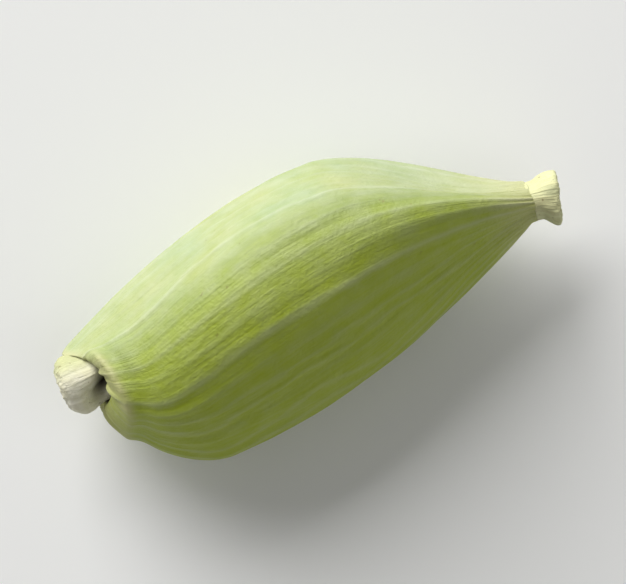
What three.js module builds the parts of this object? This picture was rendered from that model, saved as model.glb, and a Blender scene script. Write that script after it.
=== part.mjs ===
// A dried green cardamom pod lying on one of its three faces. Millimetres, +Z up.
// The husk is a three-sided capsule with ribs from end to end. It has a blunt stalk end at -X, where a
// broken stalk stub sits in a small mouth, and a narrow beak at +X, which carries the dry flower tip.
import * as THREE from "three";
import { ParametricGeometry } from "three/addons/geometries/ParametricGeometry.js";

const { degToRad, lerp, smoothstep } = THREE.MathUtils;

// Driving dimensions of the whole pod
const POD_LENGTH = 16.5; // stalk stub to flower tip
const LEFT_WIDTH = 3.7; // widest reach of the ridge on the +Y side
const RIGHT_WIDTH = 3.62; // widest reach of the ridge on the -Y side
const FACE_DEPTH = 2.5; // from the pod's axis down to the face that it lies on
const FLAT_DEPTH = 0.09; // how far that face is pressed flat where it rests
const NECK_RADIUS = 0.62; // the beak, just before the flower tip

// Where the husk starts and ends along the axis, from the stalk stub's tip
const MOUTH = { bottom: 0.95, back: 0.72, bend: 1.4, aside: 0.26 }; // it opens upwards and towards -Y
const BEAK_END = 15.5;

// Each outline swells from the mouth to its widest place and then tapers to the beak's neck.
// place and end are shares of the pod's length, and bend and taper give the fall between them its form.
const LEFT_OUTLINE = { mouth: 1.08, widest: LEFT_WIDTH, place: 0.585, end: 0.945, bend: 1.6, taper: 1.35 };
const RIGHT_OUTLINE = { mouth: 0.3, widest: RIGHT_WIDTH, place: 0.25, end: 0.925, bend: 1.9, taper: 1 };
const DEPTH_OUTLINE = { mouth: 0.84, widest: FACE_DEPTH, place: 0.42, end: 0.94, bend: 1.8, taper: 1.1 };

// The three-sided section. A higher sharpness gives flatter faces and keener ridges.
const FACE_ANGLES = [-90, 30, 150].map(degToRad);
const SHARPNESS = { stalkEnd: 1.5, middle: 1.65, beak: 2.8 };
const RIDGES_FORM = [0, 0.35]; // where the section changes, as shares of the pod's length
const RIDGES_SHARPEN = [0.5, 0.85];
const NECK_ROUNDS = [0.86, 0.95];
const SCOOP = { depth: 0.17, place: 0.84, spread: 0.12 }; // the faces sink in just before the beak
const FACE_SWELL = 0.1; // and bulge along the middle of the pod
const TOP_RIDGE_SWAY = { reach: 1.7, start: 0.27, length: 0.67, rise: 1.5 }; // it bows towards +Y
const SWAY_GROWS = [0.06, 0.2]; // and is straight at the mouth

// Ribs run the length of the husk, with one of them on each ridge
const RIBS = 30;
const STEPS_PER_RIB = 4;
const RIB_HEIGHT = 0.11; // the tallest on a face
const RIB_LEAST = 0.35; // the lowest, as a share of it
const RIB_SWELLS = 0.2; // each rises and sinks along its length by this share
const RIDGE_RIB_HEIGHT = 0.09;
const RIDGE_RIB_FOCUS = 8; // a higher value keeps the tall ribs closer to the ridges
const RIB_SWAY = degToRad(2.4);
const RIB_WAVES = [1.2, 2.5]; // how often a rib sways over the pod's length
const RIBS_RISE = [0.05, 0.17]; // they start low at the mouth
const BEAK_RIB_SHARE = 0.45; // and are this share of their height on the beak
const HUSK_STEPS = 34; // rings between the mouth and the beak
const END_CROWDING = 0.45; // 0 spaces them evenly, 1 crowds them most towards both ends
const RANDOM_SEED = 7;
const RANDOM_FACTOR = 16807;
const RANDOM_PRIME = 2147483647;

// The mouth that holds the stub: a pit and, round it, a thick lip that rounds over to the outside
const PIT_BOTTOM = 2;
const LIP_ROUND = 0.24;
const LIP_STEPS = 6;
const STUB_GAP = 0.06; // round the stub

// The socket in the end of the beak
const SOCKET_RADIUS = 0.4;
const SOCKET_DEPTH = 0.35;
const SOCKET_RIM = 0.06; // the beak rounds over by this much
const CLEARANCE = 0.04; // round the root of the flower tip

// The stalk stub
const STUB_HALF_WIDTH = 0.88;
const STUB_HALF_HEIGHT = 0.94;
const STUB_SHIFT = 0.17; // it lies a little towards +Y
const STUB_LIFT = 0.2; // and above the axis
const STUB_LENGTH = 1.97; // its root stands on the bottom of the pit
const STUB_FIBRES = 7;
const STUB_FIBRE_DEPTH = 0.05; // as a share of its size, and so is the unevenness
const STUB_UNEVEN = 0.03;
const STUB_CLEFT = { depth: 0.5, focus: 8, start: 0.5, end: 1.2 }; // deeper towards the root
const CLEFT_TURN = { from: degToRad(142), to: degToRad(105), start: 0.9, end: 1.6 }; // it runs slantwise
const STUB_HEEL = { swell: 0.2, angle: degToRad(200), focus: 2, place: 0.6, spread: 0.35 }; // below the cleft
const STUB_SIDES = 28;

// The flower tip
const TIP_WAIST = 0.58;
const TIP_RIM = 0.77;
const TIP_EDGE = 0.68; // where the rim reaches furthest
const TIP_LEAN = 0.18; // the rim leans towards -Y
const TIP_TILT = degToRad(14); // and its end is turned that way
const TIP_DISH_RADIUS = 0.34;
const TIP_DISH_DEPTH = 0.4;
const TIP_WAIST_LENGTH = 0.06;
const TIP_FLARE_LENGTH = 0.3; // from the waist to where the rim is almost at its widest
const TIP_RIM_ROUND = 0.08;
const TIP_LOBES = 6;
const TIP_LOBE_DEPTH = 0.035; // as a share of the radius, and so is the unevenness
const TIP_UNEVEN = 0.06;
const TIP_SIDES = 36;

const huskMaterial = new THREE.MeshStandardMaterial({ color: 0xa9b470, roughness: 0.6, metalness: 0 });
const stubMaterial = new THREE.MeshStandardMaterial({ color: 0xcfc3a0, roughness: 0.8, metalness: 0 });
const tipMaterial = new THREE.MeshStandardMaterial({ color: 0xd9cf9f, roughness: 0.75, metalness: 0 });

// Repeatable random numbers from 0 to 1
function randomNumbers(seed) {
  let state = seed;
  return () => {
    state = (state * RANDOM_FACTOR) % RANDOM_PRIME;
    return state / RANDOM_PRIME;
  };
}

// Half the pod's width, or its depth, at a share of its length
function outlineAt({ mouth, widest, place, end, bend, taper }, share) {
  if (share < place) {
    return lerp(mouth, widest, Math.sin(((Math.PI / 2) * share) / place));
  }
  const past = Math.min(1, (share - place) / (end - place));
  return lerp(NECK_RADIUS, widest, (1 - past ** bend) ** taper);
}

// Reach of a soft triangle whose faces are 1 from its middle
function softTriangle(angle, sharpness) {
  let sum = 0;
  for (const face of FACE_ANGLES) {
    sum += Math.max(0, Math.cos(angle - face)) ** sharpness;
  }
  return sum ** (-1 / sharpness);
}

// How far that triangle reaches to each side, just above its lower ridges
function triangleHalfWidth(sharpness) {
  let widest = 0;
  for (let degrees = -35; degrees <= 0; degrees += 1) {
    const angle = degToRad(degrees);
    widest = Math.max(widest, softTriangle(angle, sharpness) * Math.cos(angle));
  }
  return widest;
}

// 1 on the middle of a face and 0 on a ridge
function faceShare(angle) {
  return 0.5 + 0.5 * Math.cos(3 * (angle - FACE_ANGLES[0]));
}

function sharpnessAt(share) {
  const { stalkEnd, middle, beak } = SHARPNESS;
  const formed = lerp(stalkEnd, middle, smoothstep(share, ...RIDGES_FORM));
  const ridged = lerp(formed, beak, smoothstep(share, ...RIDGES_SHARPEN));
  return lerp(ridged, stalkEnd, smoothstep(share, ...NECK_ROUNDS));
}

// How far the middle of a face stands out from a flat one, as a share of its distance from the axis
function swellAt(share) {
  const sunk = SCOOP.depth * Math.exp(-(((share - SCOOP.place) / SCOOP.spread) ** 2));
  return FACE_SWELL * Math.sin(Math.PI * Math.min(1, share)) - sunk;
}

// How far the upper ridge, and less so the faces below it, are moved sideways.
// height is measured from the axis, and depth is the distance from the axis to a face.
function topRidgeSwayAt(share, height, depth) {
  const { reach, start, length, rise } = TOP_RIDGE_SWAY;
  const highness = Math.max(0, height / (2 * depth)) ** rise;
  const bow = Math.sin((Math.PI * (share - start)) / length) * smoothstep(share, ...SWAY_GROWS);
  return reach * bow * highness;
}

// A closed skin over rings of points, from one end point to the other. place puts a point of a ring.
function closedSkin(rings, sides, place) {
  const surface = (across, along, target) => {
    const ring = rings[Math.round(along * (rings.length - 1))];
    const side = Math.round(across * sides) % sides;
    place(ring, side, target);
  };
  const geometry = new ParametricGeometry(surface, sides, rings.length - 1);
  geometry.computeVertexNormals();
  return geometry;
}

function buildHusk() {
  const random = randomNumbers(RANDOM_SEED);
  const ribs = Array.from({ length: RIBS }, (_, index) => ({
    angle: (2 * Math.PI * index) / RIBS,
    height: RIB_HEIGHT * lerp(RIB_LEAST, 1, random()),
    phase: 2 * Math.PI * random(),
    waves: lerp(...RIB_WAVES, random()),
  }));
  const sides = RIBS * STEPS_PER_RIB;
  const lowest = -FACE_DEPTH * (1 + FACE_SWELL) + FLAT_DEPTH;

  // A rib's own line wanders a little, but the three on the ridges stay there.
  const ribAngle = (rib, share) => {
    const wander = Math.sin(2 * Math.PI * rib.waves * share + rib.phase);
    return rib.angle + RIB_SWAY * wander * faceShare(rib.angle);
  };

  const ribHeight = (rib, share) => {
    const onRidge = 1 - faceShare(rib.angle);
    const face = rib.height * (1 - RIB_SWELLS + RIB_SWELLS * Math.cos(4 * Math.PI * share + rib.phase));
    return lerp(face, RIDGE_RIB_HEIGHT, onRidge ** RIDGE_RIB_FOCUS);
  };

  const reliefShare = (share) => {
    const narrowed = outlineAt(DEPTH_OUTLINE, share) / FACE_DEPTH;
    return smoothstep(share, ...RIBS_RISE) * lerp(BEAK_RIB_SHARE, 1, narrowed);
  };

  // The angle and the relief of one side of a ring, between the two ribs beside it
  const sideAt = (side, share) => {
    const before = ribs[Math.floor(side / STEPS_PER_RIB)];
    const after = ribs[(Math.floor(side / STEPS_PER_RIB) + 1) % RIBS];
    const between = (side % STEPS_PER_RIB) / STEPS_PER_RIB;
    const start = ribAngle(before, share);
    const gap = (ribAngle(after, share) - start + 2 * Math.PI) % (2 * Math.PI);
    const crest = Math.cos(Math.PI * between) ** 2;
    const height = lerp(ribHeight(before, share), ribHeight(after, share), between);
    return { angle: start + gap * between, relief: height * crest * reliefShare(share) };
  };

  // A point of the husk's outside, at a place along the axis
  const skinPoint = (x, side, target) => {
    const share = x / POD_LENGTH;
    const { angle, relief } = sideAt(side, share);
    const sharpness = sharpnessAt(share);
    const reach = softTriangle(angle, sharpness) * (1 + swellAt(share) * faceShare(angle));
    const depth = outlineAt(DEPTH_OUTLINE, share);
    const outline = Math.cos(angle) > 0 ? LEFT_OUTLINE : RIGHT_OUTLINE;
    const halfWidth = outlineAt(outline, share) / triangleHalfWidth(sharpness);
    const y = Math.cos(angle) * (reach * halfWidth + relief);
    const z = Math.sin(angle) * (reach * depth + relief);
    return target.set(x, y + topRidgeSwayAt(share, z, depth), Math.max(z, lowest));
  };

  const mouthAt = (angle) => {
    const upper = Math.max(0, Math.sin(angle)) ** MOUTH.bend;
    return MOUTH.bottom + MOUTH.back * upper - MOUTH.aside * Math.cos(angle);
  };

  // A point of the pit's wall, which follows the stub
  const pitPoint = (angle, x, target) => {
    const y = (STUB_HALF_WIDTH + STUB_GAP) * Math.cos(angle) + STUB_SHIFT;
    const z = (STUB_HALF_HEIGHT + STUB_GAP) * Math.sin(angle) + STUB_LIFT;
    return target.set(x, y, z);
  };

  // Rings from the bottom of the pit, over the lip, along the outside and into the beak's socket.
  // Those of the outside are closer together near both ends.
  const rings = [{ pit: 0 }, { pit: 1 }];
  for (let step = 0; step < LIP_STEPS; step += 1) {
    rings.push({ lip: step / LIP_STEPS });
  }
  for (let step = 0; step <= HUSK_STEPS; step += 1) {
    const even = step / HUSK_STEPS;
    const eased = 0.5 - 0.5 * Math.cos(Math.PI * even);
    rings.push({ along: lerp(even, eased, END_CROWDING) });
  }
  rings.push({ radius: NECK_RADIUS - SOCKET_RIM, x: BEAK_END + SOCKET_RIM });
  rings.push({ radius: SOCKET_RADIUS, x: BEAK_END + SOCKET_RIM });
  rings.push({ radius: SOCKET_RADIUS, x: BEAK_END - SOCKET_DEPTH });
  rings.push({ radius: 0, x: BEAK_END - SOCKET_DEPTH });

  const place = (ring, side, target) => {
    const angle = (2 * Math.PI * side) / sides;
    const mouth = mouthAt(angle);
    if (ring.radius !== undefined) {
      target.set(ring.x, ring.radius * Math.cos(angle), ring.radius * Math.sin(angle));
    } else if (ring.pit !== undefined) {
      const middle = new THREE.Vector3(PIT_BOTTOM, STUB_SHIFT, STUB_LIFT);
      pitPoint(angle, PIT_BOTTOM, target).lerp(middle, 1 - ring.pit);
    } else if (ring.lip !== undefined) {
      const over = 1 - Math.cos((Math.PI / 2) * ring.lip);
      const forward = LIP_ROUND * Math.sin(Math.PI * ring.lip);
      const inner = pitPoint(angle, mouth, new THREE.Vector3());
      skinPoint(mouth, side, target).lerp(inner, 1 - over);
      target.x -= forward;
    } else {
      skinPoint(lerp(mouth, BEAK_END, ring.along), side, target);
    }
  };
  return closedSkin(rings, sides, place);
}

// A short broken stalk: a fibrous knob with a rounded, slightly hollow end at x = 0, and a thinner root.
// size is a share of its half width and half height.
function buildStalkStub() {
  const rings = [
    { x: 0.14, size: 0 },
    { x: 0.04, size: 0.3 },
    { x: 0, size: 0.55 },
    { x: 0.06, size: 0.76 },
    { x: 0.2, size: 0.92 },
    { x: 0.42, size: 1 },
    { x: 0.62, size: 0.97 },
    { x: 0.84, size: 0.93 },
    { x: 1.1, size: 0.92 },
    { x: 1.36, size: 0.92 },
    { x: 1.62, size: 0.9 },
    { x: 1.82, size: 0.76 },
    { x: STUB_LENGTH, size: 0.6 },
    { x: STUB_LENGTH, size: 0 },
  ];
  const cleftAt = (x, angle) => {
    const { depth, focus, start, end } = STUB_CLEFT;
    const middle = lerp(CLEFT_TURN.from, CLEFT_TURN.to, smoothstep(x, CLEFT_TURN.start, CLEFT_TURN.end));
    return depth * smoothstep(x, start, end) * Math.max(0, Math.cos(angle - middle)) ** focus;
  };
  const heelAt = (x, angle) => {
    const { swell, focus, place: middle, spread } = STUB_HEEL;
    const along = Math.exp(-(((x - middle) / spread) ** 2));
    return swell * along * Math.max(0, Math.cos(angle - STUB_HEEL.angle)) ** focus;
  };
  const place = (ring, side, target) => {
    const angle = (2 * Math.PI * side) / STUB_SIDES;
    const fibre = STUB_FIBRE_DEPTH * Math.cos(STUB_FIBRES * angle);
    const uneven = STUB_UNEVEN * Math.sin(3 * angle);
    const size = ring.size * (1 + fibre + uneven + heelAt(ring.x, angle) - cleftAt(ring.x, angle));
    const y = STUB_HALF_WIDTH * Math.cos(angle) * size + STUB_SHIFT;
    const z = STUB_HALF_HEIGHT * Math.sin(angle) * size + STUB_LIFT;
    target.set(ring.x, y, z);
  };
  return closedSkin(rings, STUB_SIDES, place);
}

// The dry collar that the flower left: a root in the beak's socket and a flared, lobed rim round a dish
function buildFlowerTip() {
  const root = BEAK_END - SOCKET_DEPTH + CLEARANCE;
  const waist = BEAK_END + SOCKET_RIM + CLEARANCE;
  const rim = waist + TIP_FLARE_LENGTH;
  const end = POD_LENGTH - TIP_EDGE * Math.tan(TIP_TILT);
  const dish = end - TIP_DISH_DEPTH;
  const rings = [
    { x: root, radius: 0, lobe: 0 },
    { x: root, radius: SOCKET_RADIUS - CLEARANCE, lobe: 0 },
    { x: waist, radius: SOCKET_RADIUS - CLEARANCE, lobe: 0 },
    { x: waist, radius: TIP_WAIST, lobe: 0.2 },
    { x: waist + TIP_WAIST_LENGTH, radius: TIP_WAIST, lobe: 0.4 },
    { x: rim, radius: 0.96 * TIP_RIM, lobe: 0.8 },
    { x: end - TIP_RIM_ROUND, radius: TIP_RIM, lobe: 1 },
    { x: end, radius: TIP_EDGE, lobe: 1 },
    { x: end - TIP_RIM_ROUND, radius: 0.7 * TIP_RIM, lobe: 0.8 },
    { x: dish, radius: TIP_DISH_RADIUS, lobe: 0.3 },
    { x: dish, radius: 0, lobe: 0 },
  ];
  const place = (ring, side, target) => {
    const angle = (2 * Math.PI * side) / TIP_SIDES;
    const lobe = TIP_LOBE_DEPTH * Math.cos(TIP_LOBES * angle);
    const uneven = TIP_UNEVEN * Math.sin(2 * angle + 1);
    const radius = ring.radius * (1 + ring.lobe * (lobe + uneven));
    const atEdge = ring.x > rim && ring.radius > TIP_DISH_RADIUS;
    const notch = atEdge ? TIP_LOBE_DEPTH * (1 - Math.cos(TIP_LOBES * angle)) : 0;
    const opened = smoothstep(ring.x, waist, end);
    const y = radius * Math.cos(angle);
    const x = ring.x - notch + opened * y * Math.tan(TIP_TILT);
    target.set(x, y - opened * TIP_LEAN, radius * Math.sin(angle));
  };
  return closedSkin(rings, TIP_SIDES, place);
}

function namedMesh(name, geometry, material) {
  const mesh = new THREE.Mesh(geometry, material);
  mesh.name = name;
  return mesh;
}

const alongAxis = new THREE.Group();
alongAxis.add(namedMesh("husk", buildHusk(), huskMaterial));
alongAxis.add(namedMesh("stalk_stub", buildStalkStub(), stubMaterial));
alongAxis.add(namedMesh("flower_tip", buildFlowerTip(), tipMaterial));

// The origin is on the surface that the pod lies on, under the middle of its box.
const box = new THREE.Box3().setFromObject(alongAxis, true);
const middle = box.getCenter(new THREE.Vector3());
alongAxis.position.set(-middle.x, -middle.y, -box.min.z);

const pod = new THREE.Group();
pod.add(alongAxis);

export default pod;
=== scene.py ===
# %% [markdown]
# # A green cardamom pod
# A cardamom pod is the dried seed capsule of a tall herb. It has three faces and three ridges, it is ribbed
# from end to end, and it runs from a broken stalk at its blunt end to the dry remains of the flower on its
# beak. The solid model gives the true size and place of its three pieces. This lesson makes a finer skin for
# each, with Geometry Nodes for the shapes and shader nodes for the finishes.

# %% Load the frame
import math

import bpy
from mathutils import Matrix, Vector


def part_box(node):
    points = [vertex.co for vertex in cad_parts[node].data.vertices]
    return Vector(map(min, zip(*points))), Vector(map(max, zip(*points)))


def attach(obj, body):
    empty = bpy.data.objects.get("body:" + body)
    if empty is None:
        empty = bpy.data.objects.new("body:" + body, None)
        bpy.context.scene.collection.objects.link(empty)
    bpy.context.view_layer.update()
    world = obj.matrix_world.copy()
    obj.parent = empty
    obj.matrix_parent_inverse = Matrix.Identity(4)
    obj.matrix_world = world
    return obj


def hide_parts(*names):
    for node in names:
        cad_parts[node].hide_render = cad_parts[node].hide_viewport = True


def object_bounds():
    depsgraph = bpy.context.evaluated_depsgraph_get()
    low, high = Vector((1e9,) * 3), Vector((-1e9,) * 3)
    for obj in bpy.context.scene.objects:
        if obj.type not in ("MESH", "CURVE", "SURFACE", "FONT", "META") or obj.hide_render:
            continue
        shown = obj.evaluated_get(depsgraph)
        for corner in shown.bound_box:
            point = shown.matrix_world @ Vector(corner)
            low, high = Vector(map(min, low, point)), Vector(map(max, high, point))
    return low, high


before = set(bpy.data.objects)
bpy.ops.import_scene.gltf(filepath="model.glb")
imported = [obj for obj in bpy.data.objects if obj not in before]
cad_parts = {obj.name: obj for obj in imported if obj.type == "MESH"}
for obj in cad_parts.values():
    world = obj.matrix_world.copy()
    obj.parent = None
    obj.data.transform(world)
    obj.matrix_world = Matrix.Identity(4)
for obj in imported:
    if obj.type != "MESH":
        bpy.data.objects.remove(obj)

MM = 0.001
TIP_LEAN = 0.18  # the flower tip's rim leans this far off the axis, towards -Y
cad_low, cad_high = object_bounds()
tip_low, tip_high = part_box("flower_tip")
pod_length = (cad_high.x - cad_low.x) / MM
tip_middle = (tip_low + tip_high) / 2
pod_axis = Vector((cad_low.x, tip_middle.y + TIP_LEAN * MM, tip_middle.z))
print("pod", round(pod_length, 2), "mm long, its axis at",
      [round(value / MM, 3) for value in pod_axis], "mm")

# %% [markdown]
# ## The camera
# The pod is seen from straight above, with its beak to the right and a little up. A wide lens close by would
# make the upper ridge bulge, so a long lens stands well back, and the picture's width is set from the pod's
# length.

# %% Look straight down
IMAGE_WIDTH = 626
IMAGE_HEIGHT = 584
POD_TURN = math.radians(22.5)
POD_SHARE = 0.8
LENS = 200
CLIP_PARTS = 100  # the camera sees nothing nearer than its height divided by this

camera_data = bpy.data.cameras.new("overhead_camera")
camera_data.lens = LENS
picture_width = pod_length * MM * math.cos(POD_TURN) / POD_SHARE
camera_height = picture_width * LENS / camera_data.sensor_width
camera = bpy.data.objects.new("overhead_camera", camera_data)
camera.location = (0, 0, camera_height + cad_high.z / 2)
camera.rotation_euler = (0, 0, -POD_TURN)
camera_data.clip_start = camera_height / CLIP_PARTS
bpy.context.collection.objects.link(camera)
bpy.context.scene.camera = camera
print("the picture is", round(picture_width / MM, 1), "by",
      round(picture_width * IMAGE_HEIGHT / IMAGE_WIDTH / MM, 1), "mm")

# %% [markdown]
# ## The floor and the light
# A pale floor and a large soft light from the picture's upper left, as by a window, bring out the ridge
# between the lit face and the shaded one. A small hard light would cut the pod in two at that ridge. A weak
# light from the other side and a pale sky keep the shade open.

# %% Make the floor and the sky
FLOOR_SIZE = 4
FLOOR_COLOUR = (0.94, 0.94, 0.93, 1)
FLOOR_ROUGHNESS = 0.85
SKY_COLOUR = (1, 1, 0.97, 1)
SKY_STRENGTH = 0.17

bpy.ops.mesh.primitive_plane_add(size=FLOOR_SIZE)
floor = bpy.context.object
floor.name = "floor"
floor_finish = bpy.data.materials.new("pale floor")
floor_finish.use_nodes = True
floor_shader = floor_finish.node_tree.nodes["Principled BSDF"]
floor_shader.inputs["Base Color"].default_value = FLOOR_COLOUR
floor_shader.inputs["Roughness"].default_value = FLOOR_ROUGHNESS
floor.data.materials.append(floor_finish)

sky = bpy.data.worlds.new("pale sky")
sky.use_nodes = True
sky.node_tree.nodes["Background"].inputs["Color"].default_value = SKY_COLOUR
sky.node_tree.nodes["Background"].inputs["Strength"].default_value = SKY_STRENGTH
bpy.context.scene.world = sky
bpy.context.scene.view_settings.view_transform = "Standard"
print("a floor", FLOOR_SIZE, "m wide under a pale sky")

# %% Make the lights
LIGHT_DISTANCE = 0.4
picture_right = Vector((math.cos(POD_TURN), -math.sin(POD_TURN), 0))
picture_up = Vector((math.sin(POD_TURN), math.cos(POD_TURN), 0))


def add_softbox(name, right, up, height, size, power):
    direction = (right * picture_right + up * picture_up + Vector((0, 0, height))).normalized()
    light = bpy.data.lights.new(name, "AREA")
    light.size = size
    light.energy = power
    softbox = bpy.data.objects.new(name, light)
    softbox.location = direction * LIGHT_DISTANCE
    softbox.rotation_euler = direction.to_track_quat("Z", "Y").to_euler()
    bpy.context.collection.objects.link(softbox)


add_softbox("window_light", right=-0.47, up=0.77, height=0.48, size=0.3, power=2.2)
add_softbox("weak_light", right=0.6, up=-0.2, height=1.0, size=0.3, power=0.19)
print("one window light and one weak light at", LIGHT_DISTANCE, "m")

# %% [markdown]
# ## Sums as nodes
# The three skins are made by Geometry Nodes, each from a flat grid that is rolled round the pod's axis by a
# formula. A formula of a hundred nodes is hard to read when each node is wired by hand. So a small class
# lets a sum be written as in plain Python, and every step of it adds one Math node to the tree.


# %% Write node trees as sums
class Field:
    """A value in a node tree, which can be used in sums."""

    def __init__(self, socket):
        self.socket = socket

    def __add__(self, other):
        return calculate("ADD", self, other)

    def __sub__(self, other):
        return calculate("SUBTRACT", self, other)

    def __rsub__(self, other):
        return calculate("SUBTRACT", other, self)

    def __mul__(self, other):
        return calculate("MULTIPLY", self, other)

    def __truediv__(self, other):
        return calculate("DIVIDE", self, other)

    def __rtruediv__(self, other):
        return calculate("DIVIDE", other, self)

    def __pow__(self, other):
        return calculate("POWER", self, other)

    __radd__ = __add__
    __rmul__ = __mul__


def plug(value, socket):
    if isinstance(value, Field):
        socket.id_data.links.new(value.socket, socket)
    else:
        socket.default_value = value


def tree_of(values):
    return next(value.socket.id_data for value in values if isinstance(value, Field))


def calculate(operation, *values):
    node = tree_of(values).nodes.new("ShaderNodeMath")
    node.operation = operation
    for value, socket in zip(values, node.inputs):
        plug(value, socket)
    return Field(node.outputs[0])


print("sums can be written as nodes")


# %% Name the sums that come back often
def sine(angle):
    return calculate("SINE", angle)


def cosine(angle):
    return calculate("COSINE", angle)


def larger(first, second):
    return calculate("MAXIMUM", first, second)


def smaller(first, second):
    return calculate("MINIMUM", first, second)


def limited(value):
    return smaller(larger(value, 0), 1)


def between(start, end, share):
    return start + (end - start) * share


def stretch(value, low, high, start=0, end=1):
    """start where the value is low, end where it is high, and a smooth change in between."""
    node = tree_of([value]).nodes.new("ShaderNodeMapRange")
    node.interpolation_type = "SMOOTHSTEP"
    for part, socket in zip((value, low, high, start, end), node.inputs):
        plug(part, socket)
    return Field(node.outputs[0])


def bell(value, middle, width):
    """1 where the value is in the middle, falling away to nothing on both sides."""
    return calculate("EXPONENT", ((value - middle) / width) ** 2 * -1)


def vector(x, y, z):
    node = tree_of([x, y, z]).nodes.new("ShaderNodeCombineXYZ")
    for value, socket in zip((x, y, z), node.inputs):
        plug(value, socket)
    return Field(node.outputs[0])


def split(place):
    node = tree_of([place]).nodes.new("ShaderNodeSeparateXYZ")
    plug(place, node.inputs[0])
    return [Field(socket) for socket in node.outputs]


def noise(place, seed, detail=2, roughness=0.5):
    """Cloudy noise from 0 to 1, with lumps about 1 unit wide. Each seed gives other lumps."""
    node = tree_of([place]).nodes.new("ShaderNodeTexNoise")
    node.noise_dimensions = "4D"
    plug(place, node.inputs["Vector"])
    plug(seed, node.inputs["W"])
    node.inputs["Scale"].default_value = 1
    node.inputs["Detail"].default_value = detail
    node.inputs["Roughness"].default_value = roughness
    return Field(node.outputs[0])


def swing(cloud):
    """Noise as a swing from -1 to 1."""
    return (cloud - 0.5) * 2


NOISE_RANGE = (0.35, 0.65)  # most of a noise's values lie between these
print("waves, limits, bells and noise can be used in sums")

# %% [markdown]
# ## A skin rolled from a grid
# Each piece is a closed skin. One side of the grid runs along the pod and the other goes round it, so its
# two long edges meet in a seam and each short edge shrinks to a point. Merging what meets closes the skin.
# The place round and along the pod is kept on the skin as an attribute called grain, so that the colours can
# follow the fibres. A sculpted mesh could have the same form, but no sizes that can be changed later.


# %% Build and apply a skin tree
MERGE_DISTANCE = 0.002 * MM


class SkinTree:
    """A Geometry Nodes tree that rolls a grid into a closed skin."""

    def __init__(self, name, sizes):
        self.tree = bpy.data.node_groups.new(name, "GeometryNodeTree")
        self.sizes = sizes
        self.attributes = {}
        face = self.tree.interface
        for size, value in sizes.items():
            kind = "NodeSocketInt" if isinstance(value, int) else "NodeSocketFloat"
            face.new_socket(size, in_out="INPUT", socket_type=kind)
        face.new_socket("Finish", in_out="INPUT", socket_type="NodeSocketMaterial")
        face.new_socket("Skin", in_out="OUTPUT", socket_type="NodeSocketGeometry")
        self.inputs = self.add("NodeGroupInput")
        grid_x, grid_y, _ = split(Field(self.add("GeometryNodeInputPosition").outputs[0]))
        self.along = grid_x + 0.5  # the grid runs from -0.5 to 0.5 both ways
        self.angle = (0.5 - grid_y) * math.tau

    def add(self, kind):
        return self.tree.nodes.new(kind)

    def size(self, name):
        return Field(self.inputs.outputs[name])

    def keep(self, name, field, kind="FLOAT"):
        self.attributes[name] = (field, kind)

    def chain(self, mesh, node):
        self.tree.links.new(mesh, node.inputs[0])
        return node.outputs[0]

    def start_grid(self):
        """The flat grid, with what keep was told stored on it."""
        grid = self.add("GeometryNodeMeshGrid")
        grid.inputs["Size X"].default_value = 1
        grid.inputs["Size Y"].default_value = 1
        plug(self.size("Steps Along"), grid.inputs["Vertices X"])
        plug(self.size("Steps Round"), grid.inputs["Vertices Y"])
        mesh = grid.outputs["Mesh"]
        for name, (field, kind) in self.attributes.items():
            store = self.add("GeometryNodeStoreNamedAttribute")
            store.data_type = kind
            store.inputs["Name"].default_value = name
            plug(field, store.inputs["Value"])
            mesh = self.chain(mesh, store)
        return mesh

    def move(self, mesh, place):
        node = self.add("GeometryNodeSetPosition")
        plug(place, node.inputs["Position"])
        return self.chain(mesh, node)

    def smoothed(self, soften, rounds):
        blur = self.add("GeometryNodeBlurAttribute")
        blur.data_type = "FLOAT_VECTOR"
        plug(Field(self.add("GeometryNodeInputPosition").outputs[0]), blur.inputs["Value"])
        blur.inputs["Iterations"].default_value = rounds
        plug(soften, blur.inputs["Weight"])
        return Field(blur.outputs[0])

    def close(self, x, y, z, soften=None, rounds=0):
        """Rolls the grid to x, y and z, in millimetres from the axis, and finishes the tree.
        soften is 1 where creases are smoothed away, in so many rounds."""
        place = vector(x * MM + pod_axis.x, y * MM + pod_axis.y, z * MM + pod_axis.z)
        mesh = self.move(self.start_grid(), place)
        merge = self.add("GeometryNodeMergeByDistance")
        merge.inputs["Distance"].default_value = MERGE_DISTANCE
        mesh = self.chain(mesh, merge)
        if soften:
            mesh = self.move(mesh, self.smoothed(soften, rounds))
        mesh = self.chain(mesh, self.add("GeometryNodeSetShadeSmooth"))
        mesh = self.chain(mesh, self.add("GeometryNodeRealizeInstances"))
        finish = self.add("GeometryNodeSetMaterial")
        plug(self.size("Finish"), finish.inputs["Material"])
        mesh = self.chain(mesh, finish)
        output = self.add("NodeGroupOutput")
        self.tree.links.new(mesh, output.inputs["Skin"])

    def make(self, name, finish):
        """A plain mesh object of the skin, with the sizes set on the modifier by their sockets."""
        maker = bpy.data.objects.new(name + "_maker", bpy.data.meshes.new(name + "_maker"))
        bpy.context.collection.objects.link(maker)
        modifier = maker.modifiers.new("skin", "NODES")
        modifier.node_group = self.tree
        values = {**self.sizes, "Finish": finish}
        for socket in self.tree.interface.items_tree:
            if socket.in_out == "INPUT":
                modifier[socket.identifier] = values[socket.name]
        ready = maker.evaluated_get(bpy.context.evaluated_depsgraph_get())
        piece = bpy.data.objects.new(name, bpy.data.meshes.new_from_object(ready))
        piece.data.name = name
        piece.data.materials.clear()  # the grid brings an empty slot of its own
        piece.data.materials.append(finish)
        bpy.context.collection.objects.link(piece)
        bpy.data.objects.remove(maker)
        print(name, "has", len(piece.data.polygons), "faces, material", piece.data.materials[0].name)
        return piece


print("a skin's seams and poles are merged within", round(MERGE_DISTANCE / MM, 4), "mm")

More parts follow.
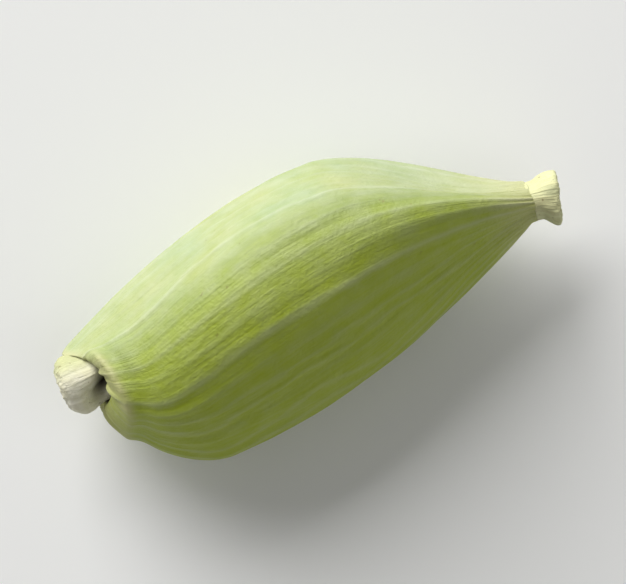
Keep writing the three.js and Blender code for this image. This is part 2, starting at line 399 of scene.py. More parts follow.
# %% [markdown]
# ## Finishes that the pieces share
# All three pieces are dry plant fibre. Long streaks follow the fibres, soft patches come from uneven drying,
# and small specks are marks of age. Each effect could be wired anew in every finish. Here it is one node
# group, placed in each finish with its own values, so a change to it shows in all of them.


# %% Make the shared groups
STREAK_RANGE = (0.3, 0.7)
SPECK_EDGE = 0.08


def new_group(name, place, numbers, output):
    """A shader group with a place, some numbers and one output, and its inputs as fields."""
    group = bpy.data.node_groups.new(name, "ShaderNodeTree")
    group.interface.new_socket(place, in_out="INPUT", socket_type="NodeSocketVector")
    for number in numbers:
        group.interface.new_socket(number, in_out="INPUT", socket_type="NodeSocketFloat")
    group.interface.new_socket(output, in_out="OUTPUT", socket_type="NodeSocketFloat")
    sources = group.nodes.new("NodeGroupInput")
    return group, {label: Field(sources.outputs[label]) for label in (place, *numbers)}


def put_out(group, field):
    plug(field, group.nodes.new("NodeGroupOutput").inputs[0])


def scaled(place, width):
    x, y, z = split(place)
    return vector(x / width, y / width, z / width)


streak_group, fields = new_group("fibre streaks", "Grain", ["Round", "Along", "Seed"], "Streak")
grain_y, grain_z, grain_along = split(fields["Grain"])
streak_place = vector(grain_y * fields["Round"], grain_z * fields["Round"], grain_along * fields["Along"])
streak = noise(streak_place, fields["Seed"], detail=4, roughness=0.6)
put_out(streak_group, stretch(streak, *STREAK_RANGE))

patch_group, fields = new_group("dry patches", "Place", ["Width", "Seed"], "Patch")
patch = noise(scaled(fields["Place"], fields["Width"]), fields["Seed"], detail=3)
put_out(patch_group, stretch(patch, *NOISE_RANGE))

speck_group, fields = new_group("age specks", "Place", ["Width", "Share", "Seed"], "Speck")
speck = noise(scaled(fields["Place"], fields["Width"]), fields["Seed"], detail=2)
put_out(speck_group, stretch(speck, 1 - fields["Share"], 1 + SPECK_EDGE - fields["Share"]))
print("three shared effects:", streak_group.name, patch_group.name, speck_group.name)


# %% Write a finish as layers
def srgb(red, green, blue):
    """A colour as seen on a screen, from 0 to 255, as the shader wants it."""
    shares = [part / 255 for part in (red, green, blue)]
    return (*[((part + 0.055) / 1.055) ** 2.4 for part in shares], 1)


class Finish:
    """A material in the making."""

    # the Mix node keeps its colour sockets after those for numbers and vectors
    SHARE, FIRST_COLOUR, SECOND_COLOUR = 0, 6, 7
    MIXED_COLOUR = 2

    def __init__(self, name):
        self.material = bpy.data.materials.new(name)
        self.material.use_nodes = True
        self.tree = self.material.node_tree
        self.shader = self.tree.nodes["Principled BSDF"]
        self.place = Field(self.tree.nodes.new("ShaderNodeTexCoord").outputs["Object"])
        self.grain = self.attribute("grain", "Vector")

    def attribute(self, name, output="Fac"):
        node = self.tree.nodes.new("ShaderNodeAttribute")
        node.attribute_name = name
        return Field(node.outputs[output])

    def effect(self, group, **values):
        node = self.tree.nodes.new("ShaderNodeGroup")
        node.node_tree = group
        for label, value in values.items():
            plug(value, node.inputs[label.title()])
        return Field(node.outputs[0])

    def streaks(self, **values):
        return self.effect(streak_group, grain=self.grain, **values)

    def patches(self, **values):
        return self.effect(patch_group, place=self.place, **values)

    def specks(self, **values):
        return self.effect(speck_group, place=self.place, **values)

    def mix(self, mask, first, second, most=1):
        """The first colour, and over it the second where the mask is, covering no more than most of it."""
        node = self.tree.nodes.new("ShaderNodeMix")
        node.data_type = "RGBA"
        plug(mask * most, node.inputs[self.SHARE])
        plug(first, node.inputs[self.FIRST_COLOUR])
        plug(second, node.inputs[self.SECOND_COLOUR])
        return Field(node.outputs[self.MIXED_COLOUR])

    def paint(self, colour, roughness):
        plug(colour, self.shader.inputs["Base Color"])
        plug(roughness, self.shader.inputs["Roughness"])

    def bump(self, height, depth):
        node = self.tree.nodes.new("ShaderNodeBump")
        node.inputs["Distance"].default_value = depth
        plug(height, node.inputs["Height"])
        self.tree.links.new(node.outputs[0], self.shader.inputs["Normal"])
        print(self.material.name, "has", len(self.tree.nodes), "nodes")


print("finishes can be written as layers of colour")

# %% [markdown]
# ## The husk's finish
# The husk is a soft, dusty green that drying has turned yellowish in some places and bluish in others.
# Painted shade makes it duskier from partway up its +Y face round to the other side, and olive on the face
# turned from the window light. Its ribs and ridges are worn pale, both ends fade to straw, and a painted
# highlight lightens its +Y edge towards the beak. A painted image would fix the marks to one size, so the
# colours are worked out from the place on the skin instead, and the streaks follow the fibres wherever they
# bend.

# %% Choose the husk's colours
GREEN = srgb(174, 188, 141)
YELLOW_GREEN = srgb(191, 195, 136)
BLUE_GREEN = srgb(163, 185, 150)
# painted shade: a dusky green for the ridge and the side turned from the light, also used for some real
# mottle
SHADE_AND_MOTTLE_GREEN = srgb(126, 142, 94)
# olive for the valleys, broad streaks and mottle, and for the painted shade on the side turned from the light
OLIVE = srgb(166, 183, 22)
# pale for the ribs, ridges, bloom and streaks, and for a painted highlight on the +Y edge near the beak
PALE_RIB = srgb(211, 216, 184)
STRAW = srgb(208, 203, 152)
BROWN = srgb(120, 96, 50)
# painted shade: dark brown for the pit and the stub's root and cleft, where shade falls
PAINTED_SHADE_BROWN = srgb(52, 40, 22)
print("the husk's green, as the shader takes it:", [round(part, 2) for part in GREEN])

# %% Find the husk's markings
husk_finish = Finish("dry green husk")
rib = husk_finish.attribute("rib")
ridge = husk_finish.attribute("ridge")
along_husk = husk_finish.attribute("along")
pit = husk_finish.attribute("pit")
lip_crest = husk_finish.attribute("lip")
round_y, round_z, _ = split(husk_finish.grain)
warm = husk_finish.patches(width=3.2 * MM, seed=1.0)
cool = husk_finish.patches(width=2.6 * MM, seed=2.0)
broad_streak = husk_finish.streaks(round=5.0, along=3.0, seed=3.0)
fine_streak = husk_finish.streaks(round=22.0, along=7.0, seed=4.0)
specks = husk_finish.specks(width=0.35 * MM, share=0.3, seed=5.0)
mottle = husk_finish.patches(width=0.8 * MM, seed=6.0)
pores = husk_finish.patches(width=0.14 * MM, seed=7.0)
bloom = husk_finish.patches(width=0.6 * MM, seed=8.0)
print("the husk's markings take", len(husk_finish.tree.nodes), "nodes")

# %% Find the husk's sides and ends
# painted shade: olive darkens the face turned away from the window light, fading out under the pod
OLIVE_SHADE_STARTS = {"stalk": 1.0, "beak": 0.7}  # the round_y where the olive begins, near each end
OLIVE_SHADE_MOVES = (0.3, 0.65)  # it moves from one to the other between these shares of the pod
OLIVE_SHADE_FULL = -0.5
OLIVE_SHADE_FROM_BELOW = (-0.9, -0.2)
# painted shade: the dusk begins at this round_y on the +Y face, is full by the next, and stays full all round
# beyond
DUSK_SHADE_FALLS = (0.76, 0.3)
BEAK_FADES = (0.8, 0.97)
# painted highlight along the +Y edge towards the beak, by round_y and by share of the pod
EDGE_HIGHLIGHT_ROUND = (0.8, 1)
EDGE_HIGHLIGHT_ALONG = (0.6, 0.85)

# painted olive shade, reaching further onto the +Y face near the stalk than near the beak
olive_shade_edge = stretch(along_husk, *OLIVE_SHADE_MOVES, OLIVE_SHADE_STARTS["stalk"], OLIVE_SHADE_STARTS["beak"])
painted_olive_shade = stretch(round_y, olive_shade_edge, OLIVE_SHADE_FULL) * stretch(round_z, *OLIVE_SHADE_FROM_BELOW)
# painted shade from partway up the +Y face, over the ridge and round the rest of the husk
painted_dusk_shade = stretch(round_y, *DUSK_SHADE_FALLS)
beak_end = stretch(along_husk, *BEAK_FADES)
# painted highlight on the +Y edge near the beak
painted_edge_highlight = stretch(round_y, *EDGE_HIGHLIGHT_ROUND) * stretch(along_husk, *EDGE_HIGHLIGHT_ALONG)
print("the olive begins at a round_y of", OLIVE_SHADE_STARTS)

# %% Colour the husk
# how much painted shade (side) and real mottle turn the husk to the dusk green
DUSK = {"side": 0.9, "mottle": 0.1}
# the side entry is painted olive shade; the valleys, streaks and mottle are the husk's own colour
DARKER = {"valley": 0.11, "streak": 0.08, "mottle": 0.12, "side": 0.82}
# the edge entry is a painted highlight; the rest is the husk's own paleness
PALER = {"rib": 0.24, "bloom": 0.16, "olive bloom": -0.1, "ridge": 0.06, "beak ridge": 0.7, "streak": 0.1,
         "edge": 0.2}
ENDS = {"beak": 0.5, "lip": 0.25, "cool lip": 0.5, "streak": 0.4}
RIB_LINE = 4  # a higher value makes the pale line on a rib narrower
VALLEY_ROUGHNESS = 0.08
BUMP = {"streak": 0.6, "pores": 0.4}

colour = husk_finish.mix(warm, GREEN, YELLOW_GREEN, most=0.8)
colour = husk_finish.mix(cool, colour, BLUE_GREEN, most=0.6)
# painted shade over the ridge and away from the window light, with a little real mottle
colour = husk_finish.mix(painted_dusk_shade * DUSK["side"] + mottle * DUSK["mottle"], colour, SHADE_AND_MOTTLE_GREEN)
darker = (1 - rib) * DARKER["valley"] + broad_streak * DARKER["streak"]
# painted olive shade on the side turned from the window light
darker = darker + mottle * DARKER["mottle"] + painted_olive_shade * DARKER["side"]
colour = husk_finish.mix(limited(darker), colour, OLIVE)
# pale bloom is weaker in the painted olive shade
paler = rib ** RIB_LINE * PALER["rib"] + bloom * (PALER["bloom"] + painted_olive_shade * PALER["olive bloom"])
paler = paler + ridge * (PALER["ridge"] + beak_end * PALER["beak ridge"])
# painted highlight on the +Y edge near the beak
paler = paler + fine_streak * PALER["streak"] + painted_edge_highlight * PALER["edge"]
colour = husk_finish.mix(limited(paler), colour, PALE_RIB)
ends = beak_end * ENDS["beak"] + lip_crest * (ENDS["lip"] + cool * ENDS["cool lip"])
colour = husk_finish.mix(limited(ends * (fine_streak * ENDS["streak"] + 1)), colour, STRAW)
colour = husk_finish.mix(specks, colour, BROWN, most=0.4)
# painted shade inside the pit
colour = husk_finish.mix(pit, colour, PAINTED_SHADE_BROWN)
husk_finish.paint(colour, roughness=between(0.46, 0.62, fine_streak) + (1 - rib) * VALLEY_ROUGHNESS)
husk_finish.bump(fine_streak * BUMP["streak"] + pores * BUMP["pores"], depth=0.02 * MM)

# %% [markdown]
# ## The husk
# The capsule is a soft triangle in section. Its left and right ridges swell at different places along the
# pod, which gives it the skewed look of a real one, and its faces sink in just before the beak. The same
# rules as in the solid model are written here as sums, with fibres, dents and the press of the seeds added
# on top. A subdivided cage would need hundreds of hand-placed points to say the same.

# %% Name the husk's sizes
HUSK_SIZES = {
    "Steps Along": 285,
    "Steps Round": 337,
    "Pod Length": pod_length,
    "Left Half Width": 3.7,
    "Right Half Width": 3.62,
    "Face Depth": 2.5,
    "Neck Radius": 0.62,
    "Ribs": 30,
    "Rib Height": 0.06,
    "Ridge Height": 0.06,
    "Pleat Height": 0.09,
    "Crease Depth": 0.08,
    "Fibre Height": 0.016,
    "Wrinkle Height": 0.02,
    "Dent Depth": 0.12,
    "Seed Press": 0.07,
    "Rim Height": 0.12,
    "Lip Rib Height": 0.14,
    "Seed": 7,
}
husk = SkinTree("ribbed husk", HUSK_SIZES)
print("the husk tree has", len(HUSK_SIZES), "named sizes")

# %% Describe the soft triangle
FACE_ANGLES = [math.radians(degrees) for degrees in (-90, 30, 150)]
STALK_SHARPNESS = 1.5
MIDDLE_SHARPNESS = 1.65
BEAK_SHARPNESS = 2.8
SHARPNESSES = (STALK_SHARPNESS, MIDDLE_SHARPNESS, BEAK_SHARPNESS)
RIDGE_SEARCH = range(-35, 1)  # degrees between which the section's widest point lies


def reach_of_triangle(angle, sharpness):
    """How far a soft triangle reaches at an angle, with its faces 1 from the middle.
    It takes fields or numbers."""
    if isinstance(angle, Field):
        powers = [larger(cosine(angle - face), 0) ** sharpness for face in FACE_ANGLES]
        return sum(powers[1:], powers[0]) ** (-1 / sharpness)
    powers = [max(math.cos(angle - face), 0) ** sharpness for face in FACE_ANGLES]
    return sum(powers) ** (-1 / sharpness)


def half_width_of_triangle(sharpness):
    angles = [math.radians(degrees) for degrees in RIDGE_SEARCH]
    return max(reach_of_triangle(angle, sharpness) * math.cos(angle) for angle in angles)


widths = {sharpness: half_width_of_triangle(sharpness) for sharpness in SHARPNESSES}
print("half widths of the soft triangle:", [round(width, 3) for width in widths.values()])

# %% Say where each stretch of the grid goes
MOUTH_BOTTOM = 0.95
MOUTH_BACK = 0.72
MOUTH_BEND = 1.4
MOUTH_ASIDE = 0.26
MOUTH_RAGGED = 0.1
RAGGED_SCALE = 3
BEAK_END = 15.5
PIT_END = 0.04
LIP_END = 0.1
OUTSIDE_END = 0.96
SOCKET_STEPS = 4

pit_out = limited(husk.along / (PIT_END / 2))
pit_forward = limited((husk.along - PIT_END / 2) / (PIT_END / 2))
lip = limited((husk.along - PIT_END) / (LIP_END - PIT_END))
outside = limited((husk.along - LIP_END) / (OUTSIDE_END - LIP_END))
socket = (husk.along - OUTSIDE_END) / ((1 - OUTSIDE_END) / SOCKET_STEPS)
rim_step, wall_step, depth_step, floor_step = [limited(socket - start) for start in range(SOCKET_STEPS)]

turn_y = cosine(husk.angle)
turn_z = sine(husk.angle)
seed = husk.size("Seed")
ragged = (noise(vector(turn_y * RAGGED_SCALE, turn_z * RAGGED_SCALE, 0), seed) - 0.5) * MOUTH_RAGGED
mouth = larger(turn_z, 0) ** MOUTH_BEND * MOUTH_BACK - turn_y * MOUTH_ASIDE + ragged + MOUTH_BOTTOM
from_mouth = (BEAK_END - mouth) * outside
skin_x = mouth + from_mouth
share = skin_x / husk.size("Pod Length")
face_share = cosine((husk.angle - FACE_ANGLES[0]) * len(FACE_ANGLES)) * 0.5 + 0.5
print("the grid's stretches: pit, lip, outside and the socket in the beak")


# %% Swell and narrow the capsule
def outline(widest, mouth_reach, place, end, bend, taper):
    """Swells from the mouth to its widest place and then falls to the neck.
    place and end are shares of the pod."""
    rise = sine(limited(share / place) * (math.pi / 2))
    fall = (1 - limited((share - place) / (end - place)) ** bend) ** taper
    neck = husk.size("Neck Radius")
    return smaller(between(mouth_reach, widest, rise), between(neck, widest, fall))


left = outline(husk.size("Left Half Width"), mouth_reach=1.08, place=0.585, end=0.945, bend=1.6, taper=1.35)
right = outline(husk.size("Right Half Width"), mouth_reach=0.3, place=0.25, end=0.925, bend=1.9, taper=1)
depth = outline(husk.size("Face Depth"), mouth_reach=0.84, place=0.42, end=0.94, bend=1.8, taper=1.1)
print("outlined with", len(husk.tree.nodes), "nodes")

# %% Give the capsule its three-sided section
FORMED_BY = 0.35
RIDGES_SHARPEN = (0.5, 0.85)
NECK_ROUNDS = (0.86, 0.95)
FACE_SWELL = 0.1
SCOOP_PLACE = 0.84
SCOOP_LENGTH = 0.12
SCOOP_DEPTH = 0.17

formed = between(STALK_SHARPNESS, MIDDLE_SHARPNESS, stretch(share, 0, FORMED_BY))
ridged = between(formed, BEAK_SHARPNESS, stretch(share, *RIDGES_SHARPEN))
sharpness = between(ridged, STALK_SHARPNESS, stretch(share, *NECK_ROUNDS))
section_width = 0  # a curve through the three widths, by the sharpness
for known, width in widths.items():
    first, second = [other for other in SHARPNESSES if other != known]
    weight = width / ((known - first) * (known - second))
    section_width = (sharpness - first) * (sharpness - second) * weight + section_width

scoop = bell(share, SCOOP_PLACE, SCOOP_LENGTH) * SCOOP_DEPTH
swell = sine(share * math.pi) * FACE_SWELL - scoop
reach = reach_of_triangle(husk.angle, sharpness) * (face_share * swell + 1)
on_left = calculate("GREATER_THAN", turn_y, 0)
half_width = between(right, left, on_left) / section_width
print("capsule shaped with", len(husk.tree.nodes), "nodes")

# %% [markdown]
# ## Ribs and wrinkles
# The ribs are strong threads in the husk, one on each ridge and nine on each face. They wander, and they
# rise and fade along the pod. Broad pleats run the same way, and one deep crease runs beside the upper
# ridge. Between the ribs lie finer fibres, small cross wrinkles where the husk has shrunk, and soft bulges
# over the seeds. A bump in the material would show them only in the shading, so they are raised from the skin
# itself.


# %% Raise the ribs
SEED_STEP = 10
RIB_WANDER = 1.5  # how many ribs a rib may stray to each side
RIB_CREST = 2  # a higher value makes the ribs narrower
LEAST_RIB = 0.15
FADED_RIB = 0.25
RIDGE_FOCUS = 24
RIDGE_RISES = (0.5, 0.82)
LOW_RIDGE = 0.2


def husk_noise(number, round_scale, along_scale, detail=2):
    place = vector(turn_y * round_scale, turn_z * round_scale, share * along_scale)
    return noise(place, seed + number * SEED_STEP, detail)


wander = swing(husk_noise(1, round_scale=1.6, along_scale=5)) * face_share * RIB_WANDER
rib_place = husk.angle * (husk.size("Ribs") / math.tau) + wander
rib_middle = calculate("ROUND", rib_place)
draw = husk.add("FunctionNodeRandomValue")  # its third input and second output are those for numbers
draw.inputs[2].default_value = LEAST_RIB
plug(calculate("FLOORED_MODULO", rib_middle, husk.size("Ribs")), draw.inputs["ID"])
plug(seed, draw.inputs["Seed"])
rib_draw = Field(draw.outputs[1])
crest = larger(cosine((rib_place - rib_middle) * math.pi), 0) ** RIB_CREST
rise_and_fade = stretch(husk_noise(2, round_scale=2.5, along_scale=5), *NOISE_RANGE, FADED_RIB)
near_ridge = (1 - face_share) ** RIDGE_FOCUS
ridge_height = husk.size("Ridge Height") * stretch(share, *RIDGE_RISES, LOW_RIDGE)
rib_height = between(husk.size("Rib Height") * rib_draw * rise_and_fade, ridge_height, near_ridge)
ribs = crest * rib_height
print("ribs raised,", len(husk.tree.nodes), "nodes")

# %% Add pleats, fibres, wrinkles and dents
CREASE_ANGLE = math.radians(112)
CREASE_WIDTH = math.radians(8)
CREASE_ENDS = (0.5, 0.3)
SHRUNK_RANGE = (0.4, 0.65)

pleats = swing(husk_noise(6, round_scale=3.2, along_scale=1.8)) * husk.size("Pleat Height") * face_share
crease_line = bell(husk.angle, CREASE_ANGLE, CREASE_WIDTH) * stretch(share, *CREASE_ENDS)
crease = crease_line * husk.size("Crease Depth")
fibres = swing(husk_noise(3, round_scale=15, along_scale=5, detail=3)) * husk.size("Fibre Height")
shrunk = stretch(husk_noise(7, round_scale=2, along_scale=5), *SHRUNK_RANGE)
wrinkle_lines = swing(husk_noise(4, round_scale=7, along_scale=34, detail=3))
wrinkles = wrinkle_lines * husk.size("Wrinkle Height") * shrunk
dents = swing(husk_noise(5, round_scale=1.1, along_scale=3.2)) * husk.size("Dent Depth")
print("pleats, fibres, wrinkles and dents,", len(husk.tree.nodes), "nodes")

# %% Press the seeds through and end the relief softly
SEEDS_ROUND = 1.5
SEEDS_ALONG = 8
SEED_SOFTNESS = 0.6
RELIEF_STARTS = (0.05, 0.17)
BEAK_RELIEF = 0.45
FINE_STARTS = (0.02, 0.1)
FINE_SHARE = 0.5

cells = husk.add("ShaderNodeTexVoronoi")
cells.feature = "SMOOTH_F1"
cells.inputs["Scale"].default_value = 1
cells.inputs["Smoothness"].default_value = SEED_SOFTNESS
plug(vector(turn_y * SEEDS_ROUND, turn_z * SEEDS_ROUND, share * SEEDS_ALONG), cells.inputs["Vector"])
seeds = (0.5 - Field(cells.outputs["Distance"])) * husk.size("Seed Press") * face_share
taper_off = stretch(share, *RELIEF_STARTS) * between(BEAK_RELIEF, 1, depth / husk.size("Face Depth"))
fine_taper = larger(taper_off, stretch(share, *FINE_STARTS) * FINE_SHARE)
relief = (pleats - crease + dents + seeds) * taper_off + (ribs + fibres + wrinkles) * fine_taper
print("relief added,", len(husk.tree.nodes), "nodes")

# %% [markdown]
# ## The mouth and the skin
# At the blunt end the husk opens in a ragged mouth with a beaded rim, and the ribs run out over its lip in
# small folds. The grid starts at the bottom of the pit that holds the stalk stub, comes out along its wall,
# rolls over the lip and then covers the outside. It ends in a small socket in the beak. One grid for all of
# it leaves no seam at the lip, where a separate ring would show one. The upper ridge sways from side to
# side along the pod.

# %% Bead the rim and fold the lip
RIM_FADES = (0.85, 0.3)
BEAD_PLACE = 0.06
BEAD_WIDTH = 0.18
GROOVE_PLACE = 0.52
GROOVE_WIDTH = 0.22
GROOVE_SHARE = 0.6
LIP_ROUND = 0.24
LIP_VALLEY = 0.2

rim_side = stretch(turn_y, *RIM_FADES)
rim_bead = bell(from_mouth, BEAD_PLACE, BEAD_WIDTH) * rim_side
rim_groove = bell(from_mouth, GROOVE_PLACE, GROOVE_WIDTH) * rim_side * GROOVE_SHARE
relief = relief + (rim_bead - rim_groove) * husk.size("Rim Height")
lip_folds = (crest * rib_draw * rise_and_fade - LIP_VALLEY) * rim_side * husk.size("Lip Rib Height")
lip_forward = sine(lip * math.pi) * (lip_folds + LIP_ROUND)
print("rim and lip shaped,", len(husk.tree.nodes), "nodes")

# %% Sway the ridge and rest the husk on its flat
RIDGE_SWAY = 1.7
SWAY_START = 0.27
SWAY_LENGTH = 0.67
SWAY_GROWS = (0.06, 0.2)
SWAY_BEND = 1.5
FLAT_DEPTH = 0.09

skin_y = turn_y * (reach * half_width + relief)
skin_z = turn_z * (reach * depth + relief)
highness = larger(skin_z / (depth * 2), 0) ** SWAY_BEND
bow = sine((share - SWAY_START) * (math.pi / SWAY_LENGTH)) * stretch(share, *SWAY_GROWS)
skin_y = skin_y + bow * highness * RIDGE_SWAY
skin_z = larger(skin_z, husk.size("Face Depth") * -(1 + FACE_SWELL) + FLAT_DEPTH)
print("the ridge sways by up to", RIDGE_SWAY, "mm")

# %% Join the pit, the lip, the outside and the socket
STUB_HALF_WIDTH = 0.88
STUB_HALF_HEIGHT = 0.94
STUB_SHIFT = 0.17
STUB_LIFT = 0.2
STUB_GAP = 0.03
PIT_BOTTOM = 2
SOCKET_RADIUS = 0.4
SOCKET_DEPTH = 0.35
SOCKET_RIM = 0.06

pit_y = turn_y * (STUB_HALF_WIDTH + STUB_GAP) * pit_out + STUB_SHIFT
pit_z = turn_z * (STUB_HALF_HEIGHT + STUB_GAP) * pit_out + STUB_LIFT
over_lip = 1 - cosine(lip * (math.pi / 2))
rolled_x = skin_x - lip_forward + (PIT_BOTTOM - mouth) * (1 - pit_forward)
rolled_y = between(pit_y, skin_y, over_lip)
rolled_z = between(pit_z, skin_z, over_lip)

rim_radius = husk.size("Neck Radius") - SOCKET_RIM
shrink = between(1, SOCKET_RADIUS / rim_radius, wall_step) * (1 - floor_step)
rolled_x = rolled_x + rim_step * SOCKET_RIM - depth_step * (SOCKET_RIM + SOCKET_DEPTH)
rolled_y = between(rolled_y, turn_y * rim_radius, rim_step) * shrink
rolled_z = between(rolled_z, turn_z * rim_radius, rim_step) * shrink
print("one grid from the pit to the socket,", len(husk.tree.nodes), "nodes")

# %% Roll the husk
FAINT_RIB = 0.4
# painted shade on the pit walls, fading out on the lip
PAINTED_PIT_SHADE = (0.2, 0.02)
MOUTH_SOFTENS = (0.07, 0.01)
SOFTEN_ROUNDS = 14

husk.keep("grain", vector(turn_y, turn_z, share), "FLOAT_VECTOR")
husk.keep("rib", crest * between(FAINT_RIB, 1, rib_draw))
husk.keep("ridge", near_ridge * crest)
husk.keep("along", share)
# the pit attribute is painted shade, full deep in the pit and gone a little way onto the lip
husk.keep("pit", stretch(lip, *PAINTED_PIT_SHADE))
husk.keep("lip", larger(sine(lip * math.pi), rim_bead))
round_mouth = stretch(husk.along, PIT_END, LIP_END) * stretch(outside, *MOUTH_SOFTENS)
husk.close(rolled_x, rolled_y, rolled_z, soften=round_mouth, rounds=SOFTEN_ROUNDS)
husk_piece = husk.make("ribbed_husk", husk_finish.material)

# %% [markdown]
# ## The stalk stub
# The pod broke off its stalk, and a short plug of dry fibre stayed in the mouth. A deep cleft runs along one
# side of it, with a swollen heel below. Its profile is drawn by two curves, one for the place along the axis
# and one for the size, and noise makes the broken end uneven. A turned profile alone would look like a peg.

# %% Colour the stalk stub
BEIGE = srgb(252, 249, 230)
DARK_BEIGE = srgb(228, 220, 186)

stub_finish = Finish("dry stalk fibre")
stub_streak = stub_finish.streaks(round=6.0, along=1.2, seed=11.0)
stub_patch = stub_finish.patches(width=0.5 * MM, seed=12.0)
stub_specks = stub_finish.specks(width=0.15 * MM, share=0.36, seed=13.0)
colour = stub_finish.mix(stub_streak, BEIGE, DARK_BEIGE, most=0.4)
colour = stub_finish.mix(stub_patch, colour, STRAW, most=0.35)
colour = stub_finish.mix(stub_finish.attribute("upper"), colour, YELLOW_GREEN, most=0.85)
colour = stub_finish.mix(stub_specks, colour, BROWN, most=0.4)
# painted shade on the stub deep in the mouth and inside its cleft
colour = stub_finish.mix(stub_finish.attribute("root"), colour, PAINTED_SHADE_BROWN)
stub_finish.paint(colour, roughness=between(0.72, 0.9, stub_streak))
stub_finish.bump(stub_streak, depth=0.025 * MM)


# %% Draw the stub's profile
def profile(skin, shares):
    """A smooth curve through shares from 0 to 1 that are evenly spaced along the grid, as a field."""
    node = skin.add("ShaderNodeFloatCurve")
    curve = node.mapping.curves[0]
    curve.points[0].location = (0, shares[0])
    curve.points[1].location = (1, shares[-1])
    for step, height in enumerate(shares[1:-1], start=1):
        curve.points.new(step / (len(shares) - 1), height)
    node.mapping.update()
    plug(skin.along, node.inputs["Value"])
    return Field(node.outputs[0])


STUB_SIZES = {
    "Steps Along": 120,
    "Steps Round": 129,
    "Stub Length": 1.97,
    "Half Width": STUB_HALF_WIDTH,
    "Half Height": STUB_HALF_HEIGHT,
    "Groove Depth": 0.07,
    "Broken Depth": 0.2,
    "Upper Swell": 0.1,
    "Cleft Depth": 0.5,
    "Heel Swell": 0.2,
    "Seed": 3,
}
STUB_LENGTH = STUB_SIZES["Stub Length"]
STUB_PLACES = [0.14, 0.04, 0, 0.06, 0.2, 0.42, 0.62, 0.84, 1.1, 1.36, 1.62, 1.82, STUB_LENGTH, STUB_LENGTH]
STUB_SHARES = [0, 0.3, 0.55, 0.76, 0.92, 1, 0.97, 0.93, 0.92, 0.92, 0.9, 0.76, 0.6, 0]
stub = SkinTree("stalk stub", STUB_SIZES)
stub_x = profile(stub, [place / STUB_LENGTH for place in STUB_PLACES]) * stub.size("Stub Length")
stub_size = profile(stub, STUB_SHARES)
stub_y = cosine(stub.angle)
stub_z = sine(stub.angle)
print("the stub is drawn by", len(STUB_SHARES), "points")

# %% Shape the stub's cleft and heel
CLEFT_FROM = math.radians(142)
CLEFT_TO = math.radians(105)
CLEFT_TURNS = (0.9, 1.6)
CLEFT_FOCUS = 8
CLEFT_DEEPENS = (0.5, 1.2)
HEEL_ANGLE = math.radians(200)
HEEL_FOCUS = 2
HEEL_PLACE = 0.72
HEEL_LENGTH = 0.42
UPPER_SWELLS = (0.2, 1.2)

cleft_angle = between(CLEFT_FROM, CLEFT_TO, stretch(stub_x, *CLEFT_TURNS))
cleft_side = larger(cosine(stub.angle - cleft_angle), 0) ** CLEFT_FOCUS
cleft = cleft_side * stretch(stub_x, *CLEFT_DEEPENS) * stub.size("Cleft Depth")
heel_side = larger(cosine(stub.angle - HEEL_ANGLE), 0) ** HEEL_FOCUS
heel = heel_side * bell(stub_x, HEEL_PLACE, HEEL_LENGTH) * stub.size("Heel Swell")
upper = stretch(stub_y + stub_z, *UPPER_SWELLS) * stub.size("Upper Swell")
print("cleft and heel shaped with", len(stub.tree.nodes), "nodes")

# %% Break the stub's end and roll it
FIBRE_SCALE = 2.6
FIBRE_STRETCH = 2
GROOVE_LEVEL = 0.6
BREAK_SCALE = 5
BREAK_SEED = 5
BREAK_LEVEL = 0.35
BREAK_REACH = 0.5
CORE_SIZE = 0.5
# painted shade on the stub deep in the mouth, and in its cleft
PAINTED_ROOT_SHADE = (1.55, 1.85)
PAINTED_CLEFT_SHADE = (0.7, 1.3)
UPPER_GREENS = (0, 0.9)

stub_seed = stub.size("Seed")
groove_place = vector(stub_y * FIBRE_SCALE, stub_z * FIBRE_SCALE, stub.along * FIBRE_STRETCH)
grooves = (noise(groove_place, stub_seed, detail=3) - GROOVE_LEVEL) * stub.size("Groove Depth") * 2
break_place = vector(stub_y * stub_size * BREAK_SCALE, stub_z * stub_size * BREAK_SCALE, stub.along)
breaks = larger(noise(break_place, stub_seed + BREAK_SEED, detail=3) - BREAK_LEVEL, 0)
broken_x = stub_x + breaks * stretch(stub_x, BREAK_REACH, 0) * stub.size("Broken Depth")
uneven = grooves + upper + heel - cleft
stub_size = stub_size * (uneven * stretch(stub_size, 0, CORE_SIZE) + 1)
side_y = stub_y * stub_size
side_z = stub_z * stub_size

stub.keep("grain", vector(side_y, side_z, stub.along), "FLOAT_VECTOR")
# the root attribute is painted shade: deep in the mouth and inside the cleft
stub.keep("root", larger(stretch(stub_x, *PAINTED_ROOT_SHADE), stretch(stub_x, *PAINTED_CLEFT_SHADE) * cleft_side))
stub.keep("upper", stretch(side_y, *UPPER_GREENS))
stub.close(
    broken_x,
    side_y * stub.size("Half Width") + STUB_SHIFT,
    side_z * stub.size("Half Height") + STUB_LIFT)
stub_piece = stub.make("stalk_stub_fibres", stub_finish.material)

# %% [markdown]
# ## The flower tip
# On the end of the beak sits what is left of the flower: a dry, papery knob with a small dish in its end.
# Its waist follows the beak's three-sided section, and its rim has soft lobes and is torn unevenly. A folded
# thin sheet would need more detail than so small a knob can show, so it is one more skin drawn by two
# curves.

# %% Colour the flower tip
CREAM = srgb(234, 237, 184)
TAN = srgb(198, 190, 132)

tip_finish = Finish("dry flower paper")
tip_streak = tip_finish.streaks(round=7.0, along=1.0, seed=21.0)
tip_patch = tip_finish.patches(width=0.6 * MM, seed=22.0)
tip_specks = tip_finish.specks(width=0.16 * MM, share=0.34, seed=23.0)
colour = tip_finish.mix(tip_streak, CREAM, TAN, most=0.45)
colour = tip_finish.mix(tip_patch, colour, STRAW, most=0.4)
colour = tip_finish.mix(tip_specks, colour, BROWN, most=0.6)
tip_finish.paint(colour, roughness=between(0.62, 0.82, tip_streak))
tip_finish.bump(tip_streak, depth=0.03 * MM)

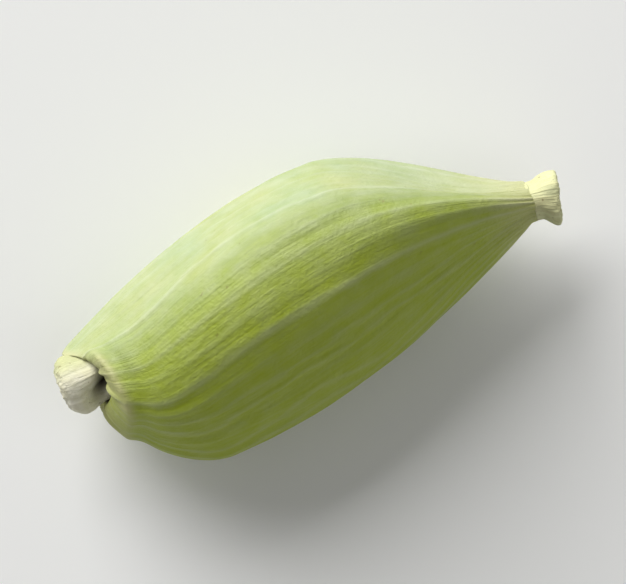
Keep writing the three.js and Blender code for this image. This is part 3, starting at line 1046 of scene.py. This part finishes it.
# %% Draw the tip's profile
TIP_SIZES = {
    "Steps Along": 130,
    "Steps Round": 161,
    "Lobes": 6,
    "Lobe Depth": 0.035,
    "Crumple": 0.14,
    "Tear": 0.2,
    "Seed": 9,
}
TIP_SPAN = 2  # the curve of places can show this many millimetres
TIP_WAIST = 0.61
TIP_RIM = 0.77
TIP_EDGE = 0.68
TIP_TILT = math.tan(math.radians(14))
TIP_CLEARANCE = 0.04
TIP_ROOT = SOCKET_RADIUS - TIP_CLEARANCE
WAIST_SINK = 0.05
DISH_DEPTH = 0.4
DISH_RADIUS = 0.34

root_x = BEAK_END - SOCKET_DEPTH + TIP_CLEARANCE
waist_x = BEAK_END - WAIST_SINK
end_x = pod_length - TIP_EDGE * TIP_TILT
tip_places = [root_x, root_x, waist_x, waist_x, waist_x + 0.22, waist_x + 0.45,
              end_x - 0.24, end_x - 0.09, end_x, end_x - 0.06, end_x - DISH_DEPTH, end_x - DISH_DEPTH]
tip_radii = [0, TIP_ROOT, TIP_ROOT, TIP_WAIST, 1.03 * TIP_WAIST, 0.95 * TIP_RIM,
             TIP_RIM, 0.98 * TIP_RIM, 0.82 * TIP_RIM, 0.62 * TIP_RIM, DISH_RADIUS, 0]
tip = SkinTree("flower tip", TIP_SIZES)
tip_x = profile(tip, [(place - root_x) / TIP_SPAN for place in tip_places]) * TIP_SPAN + root_x
tip_radius = profile(tip, tip_radii)
tip_y = cosine(tip.angle)
tip_z = sine(tip.angle)
print("the tip runs from", round(root_x, 2), "to", round(end_x, 2), "mm along the pod")

# %% Crumple, tear and roll the tip
CRUMPLE_SCALE = 3
OVAL_DEPTH = 0.06
OVAL_TURN = 1
TEAR_SCALE = 4
TEAR_SEED = 4
TEAR_LEVEL = 0.35
TORN_LENGTH = 0.3

tip_seed = tip.size("Seed")
opened = stretch(tip_x, waist_x, end_x)
lobes = cosine(tip.angle * tip.size("Lobes")) * tip.size("Lobe Depth")
crumple_place = vector(tip_y * CRUMPLE_SCALE, tip_z * CRUMPLE_SCALE, tip.along * CRUMPLE_SCALE)
crumple = swing(noise(crumple_place, tip_seed, detail=3)) * tip.size("Crumple")
oval = sine(tip.angle * 2 + OVAL_TURN) * OVAL_DEPTH
tip_radius = tip_radius * ((lobes + crumple + oval) * opened + 1)
tear_place = vector(tip_y * TEAR_SCALE, tip_z * TEAR_SCALE, tip.along)
tear = (noise(tear_place, tip_seed + TEAR_SEED, detail=3) - TEAR_LEVEL) * tip.size("Tear")
torn_x = tip_x - tear * stretch(tip_x, end_x - TORN_LENGTH, end_x)

neck_reach = reach_of_triangle(tip.angle, STALK_SHARPNESS)
neck_width = neck_reach / widths[STALK_SHARPNESS]
rim_y = tip_y * tip_radius * between(neck_width, 1, opened)
rim_z = tip_z * tip_radius * between(neck_reach, 1, opened)
tip.keep("grain", vector(tip_y, tip_z, tip.along), "FLOAT_VECTOR")
tip.close(torn_x + opened * rim_y * TIP_TILT, rim_y - opened * TIP_LEAN, rim_z)
tip_piece = tip.make("flower_tip_paper", tip_finish.material)

# %% [markdown]
# ## Put the skins in place of the solids
# Each skin stands for its solid, which stays in the model for collision. All three ride on the one body,
# because nothing on a pod moves.

# %% Replace the solids and finish
for piece, node in ((husk_piece, "husk"), (stub_piece, "stalk_stub"), (tip_piece, "flower_tip")):
    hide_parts(node)
    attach(piece, "root")
